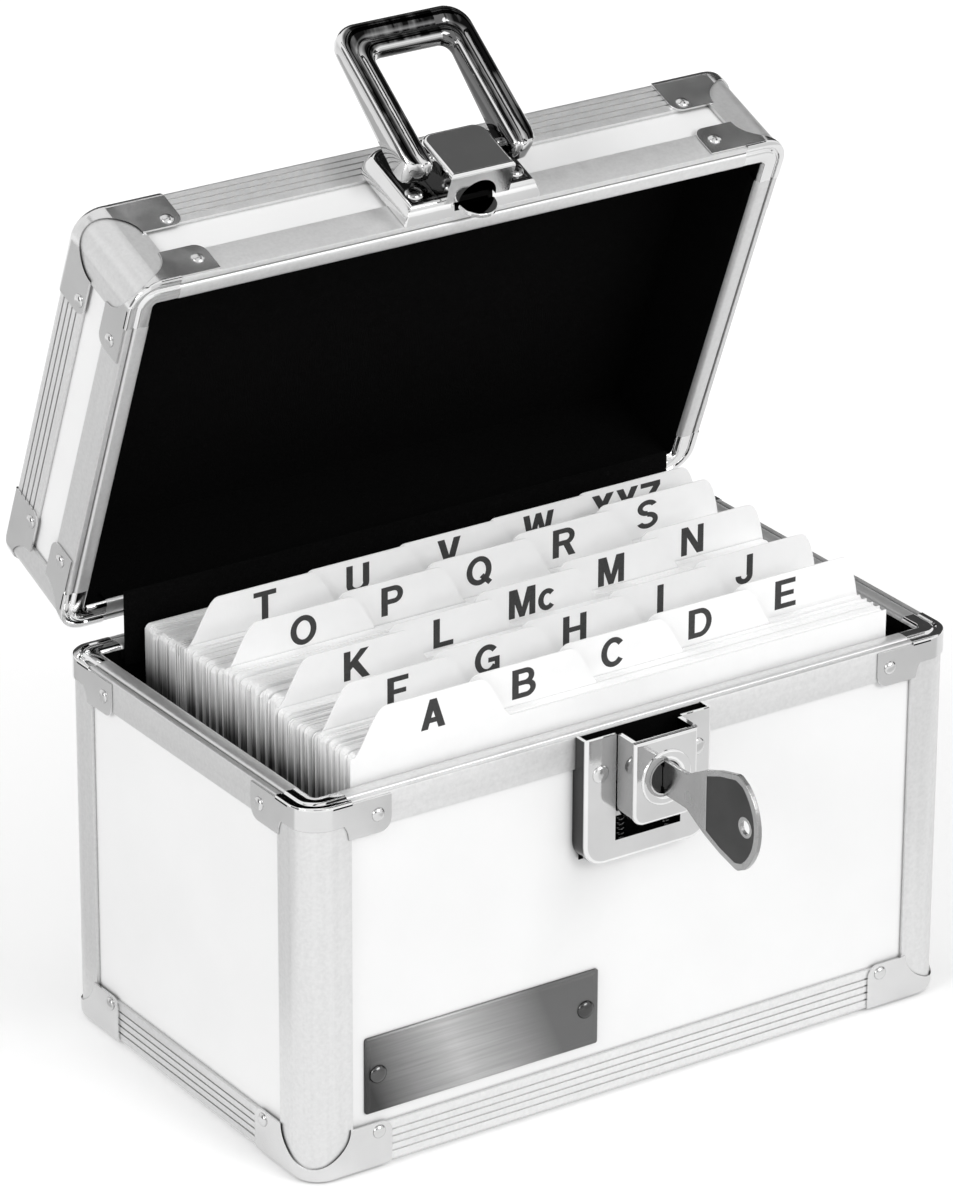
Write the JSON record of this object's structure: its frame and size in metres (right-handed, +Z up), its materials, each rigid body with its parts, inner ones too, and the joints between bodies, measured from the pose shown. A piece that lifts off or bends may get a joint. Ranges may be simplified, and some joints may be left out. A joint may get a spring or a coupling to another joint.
{
  "type": "lockable index card box",
  "caption": "Small aluminium-framed box with white panels, a hinged lid, bail handle, latch and key lock, filled with index cards behind tabbed alphabet guides.",
  "frame": {"origin": "middle of the base's underside, on the surface that the box stands on", "axes": "+X to the right as seen from the lock, +Y from the lock to the hinges, +Z up"},
  "size_m": [0.1866, 0.1853, 0.24],
  "materials": {
    "frame": "satin anodised",
    "panel": "white laminate on board, fine texture",
    "corner_cap": "plated sheet",
    "rivet": "polished",
    "felt": "black flocked lining",
    "hinge": "plated",
    "lock": "polished",
    "handle": "polished",
    "key": "nickel plated",
    "spring": "bright wire",
    "nameplate": "dark brushed",
    "card": "matt white card",
    "guide": "smooth white board"
  },
  "bodies": {
    "base": {"base_front_rim": "frame", "base_front_edge": "frame", "base_front_panel": "panel", "base_back_rim": "frame", "base_back_edge": "frame", "base_back_panel": "panel", "base_left_rim": "frame", "base_left_edge": "frame", "base_left_panel": "panel", "base_right_rim": "frame", "base_right_edge": "frame", "base_right_panel": "panel", "base_bottom_panel": "panel", "base_corner_posts": "frame", "base_rim_corners": "corner_cap", "base_foot_corners": "corner_cap", "base_cap_rivets": "rivet", "base_lining": "felt", "nameplate": "nameplate", "hinge_base_leaves": "hinge", "hinge_pins": "hinge", "lock_plate": "lock", "lock_rivets": "rivet"},
    "lid": {"lid_front_rim": "frame", "lid_front_edge": "frame", "lid_back_rim": "frame", "lid_back_edge": "frame", "lid_left_rim": "frame", "lid_left_edge": "frame", "lid_right_rim": "frame", "lid_right_edge": "frame", "lid_side_panels": "panel", "lid_top_panel": "panel", "lid_corner_posts": "frame", "lid_rim_corners": "corner_cap", "lid_top_corners": "corner_cap", "lid_cap_rivets": "rivet", "lid_lining": "felt", "hinge_lid_leaves": "hinge", "latch_plate": "lock", "latch_block": "lock", "latch_tongue": "lock", "handle_pin": "handle"},
    "handle": {"handle": "handle"},
    "lock_slide": {"lock_slide": "lock", "return_springs": "spring"},
    "lock_cylinder": {"key_cylinder": "lock", "lock_cam": "lock"},
    "key": {"key": "key"},
    "cards_a_to_e": {"index_cards_a_to_e": "card", "guides_a_to_e": "guide"},
    "cards_f_to_j": {"index_cards_f_to_j": "card", "guides_f_to_j": "guide"},
    "cards_k_to_n": {"index_cards_k_to_n": "card", "guides_k_to_n": "guide"},
    "cards_o_to_s": {"index_cards_o_to_s": "card", "guides_o_to_s": "guide"},
    "cards_t_to_z": {"index_cards_t_to_z": "card", "guides_t_to_z": "guide"}
  },
  "joints": [
    {"name": "lid_hinge", "type": "hinge", "parent": "base", "child": "lid", "pos_m": [0, 0.057, 0.0975], "axis": [-1, 0, 0], "range_deg": [-68.5, 26.5]},
    {"name": "handle_swing", "type": "hinge", "parent": "lid", "child": "handle", "pos_m": [0, 0.02157, 0.21445], "axis": [1, 0, 0], "range_deg": [0, 150]},
    {"name": "slide_travel", "type": "slide", "parent": "base", "child": "lock_slide", "axis": [0, 0, -1], "range_m": [0, 0.005], "stiffness_N_per_m": 400, "springref_m": -0.003, "deforming": ["return_springs"]},
    {"name": "key_turn", "type": "hinge", "parent": "lock_slide", "child": "lock_cylinder", "pos_m": [0, -0.06, 0.0867], "axis": [0, 1, 0], "range_deg": [0, 90]},
    {"name": "key_withdraw", "type": "slide", "parent": "lock_cylinder", "child": "key", "axis": [0, -1, 0], "range_m": [0, 0.02]},
    {"name": "cards_lift_a_to_e", "type": "slide", "parent": "base", "child": "cards_a_to_e", "axis": [0, 0, 1], "range_m": [0, 0.06]},
    {"name": "cards_lift_f_to_j", "type": "slide", "parent": "base", "child": "cards_f_to_j", "axis": [0, 0, 1], "range_m": [0, 0.06]},
    {"name": "cards_lift_k_to_n", "type": "slide", "parent": "base", "child": "cards_k_to_n", "axis": [0, 0, 1], "range_m": [0, 0.06]},
    {"name": "cards_lift_o_to_s", "type": "slide", "parent": "base", "child": "cards_o_to_s", "axis": [0, 0, 1], "range_m": [0, 0.06]},
    {"name": "cards_lift_t_to_z", "type": "slide", "parent": "base", "child": "cards_t_to_z", "axis": [0, 0, 1], "range_m": [0, 0.06]}
  ]
}
